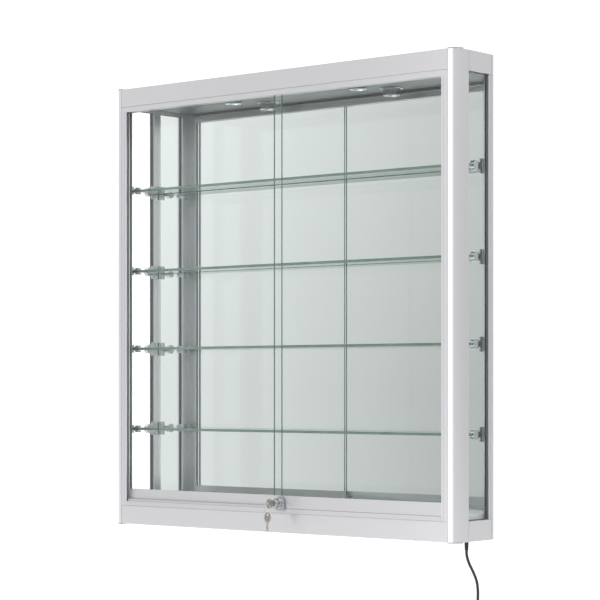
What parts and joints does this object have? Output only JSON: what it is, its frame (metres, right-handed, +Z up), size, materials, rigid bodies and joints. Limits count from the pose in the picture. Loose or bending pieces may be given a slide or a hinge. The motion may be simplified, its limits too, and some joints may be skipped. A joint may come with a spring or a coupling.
{
  "type": "glass display showcase",
  "caption": "Shallow wall-hung display showcase: aluminium frame, mirror back, glass sides and shelves, sliding glass doors with a push lock, ceiling spotlights and a mains lead.",
  "frame": {"origin": "middle of the flat back face, where the case meets the wall", "axes": "+Z up, +Y into the wall, so the doors face -Y and +X is to the right of a person facing them"},
  "size_m": [1.0024, 0.1925, 1.3091],
  "materials": {
    "silver_aluminium": "satin silver anodised",
    "grey_plastic": "fine moulded texture",
    "float_glass": "clear float glass with green polished edges",
    "silvered_mirror": "silvered float glass",
    "steel_backing": "galvanised sheet",
    "polished_chrome": "polished",
    "nickelled_steel": "nickel plated, lightly worn",
    "black_pvc": "satin moulded PVC"
  },
  "bodies": {
    "case": {"front_post_left": "silver_aluminium", "front_post_right": "silver_aluminium", "rear_post_left": "silver_aluminium", "rear_post_right": "silver_aluminium", "top_fascia": "silver_aluminium", "bottom_fascia": "silver_aluminium", "top_track": "silver_aluminium", "bottom_track": "silver_aluminium", "side_rail_top_left": "silver_aluminium", "side_rail_top_right": "silver_aluminium", "side_rail_bottom_left": "silver_aluminium", "side_rail_bottom_right": "silver_aluminium", "roof_panel": "silver_aluminium", "ceiling_panel": "silver_aluminium", "deck_panel": "silver_aluminium", "base_panel": "silver_aluminium", "corner_cap_top_left": "grey_plastic", "corner_cap_top_right": "grey_plastic", "corner_cap_bottom_left": "grey_plastic", "corner_cap_bottom_right": "grey_plastic", "clamp_1_front_left": "polished_chrome", "clamp_1_front_right": "polished_chrome", "clamp_1_rear_left": "polished_chrome", "clamp_1_rear_right": "polished_chrome", "clamp_2_front_left": "polished_chrome", "clamp_2_front_right": "polished_chrome", "clamp_2_rear_left": "polished_chrome", "clamp_2_rear_right": "polished_chrome", "clamp_3_front_left": "polished_chrome", "clamp_3_front_right": "polished_chrome", "clamp_3_rear_left": "polished_chrome", "clamp_3_rear_right": "polished_chrome", "clamp_4_front_left": "polished_chrome", "clamp_4_front_right": "polished_chrome", "clamp_4_rear_left": "polished_chrome", "clamp_4_rear_right": "polished_chrome", "shelf_1": "float_glass", "shelf_2": "float_glass", "shelf_3": "float_glass", "shelf_4": "float_glass", "side_pane_left": "float_glass", "side_pane_right": "float_glass", "mirror_pane": "silvered_mirror", "back_panel": "steel_backing", "spot_ring_left": "polished_chrome", "spot_ring_right": "polished_chrome", "cord_gland": "black_pvc", "cord": "black_pvc", "plug": "black_pvc"},
    "left_door": {"door_pane_left": "float_glass", "door_rail_left": "silver_aluminium"},
    "right_door": {"door_pane_right": "float_glass", "door_rail_right": "silver_aluminium", "lock_body": "polished_chrome"},
    "plunger": {"lock_barrel": "polished_chrome"},
    "key": {"key": "nickelled_steel", "lock_cylinder": "polished_chrome"},
    "spare_key": {"spare_key": "nickelled_steel"},
    "left_spot": {"spot_lamp_left": "polished_chrome"},
    "right_spot": {"spot_lamp_right": "polished_chrome"}
  },
  "joints": [
    {"name": "left_door_slide", "type": "slide", "parent": "case", "child": "left_door", "axis": [-1, 0, 0], "range_m": [-0.445, 0]},
    {"name": "right_door_slide", "type": "slide", "parent": "case", "child": "right_door", "axis": [1, 0, 0], "range_m": [-0.45, 0]},
    {"name": "plunger_push", "type": "slide", "parent": "right_door", "child": "plunger", "axis": [0, 1, 0], "range_m": [0, 0.01], "stiffness_N_per_m": 100, "springref_m": -0.01},
    {"name": "key_turn", "type": "hinge", "parent": "plunger", "child": "key", "pos_m": [0.0202, -0.1629, -0.4495], "axis": [0, 1, 0], "range_deg": [0, 90]},
    {"name": "spare_key_swing", "type": "hinge", "parent": "key", "child": "spare_key", "pos_m": [0.0202, -0.1815, -0.4611], "axis": [0, 1, 0], "range_deg": [-45, 45]},
    {"name": "left_spot_tilt", "type": "hinge", "parent": "case", "child": "left_spot", "pos_m": [-0.183, -0.065, 0.48], "axis": [1, 0, 0], "range_deg": [-15, 15]},
    {"name": "right_spot_tilt", "type": "hinge", "parent": "case", "child": "right_spot", "pos_m": [0.183, -0.065, 0.48], "axis": [1, 0, 0], "range_deg": [-15, 15]}
  ]
}
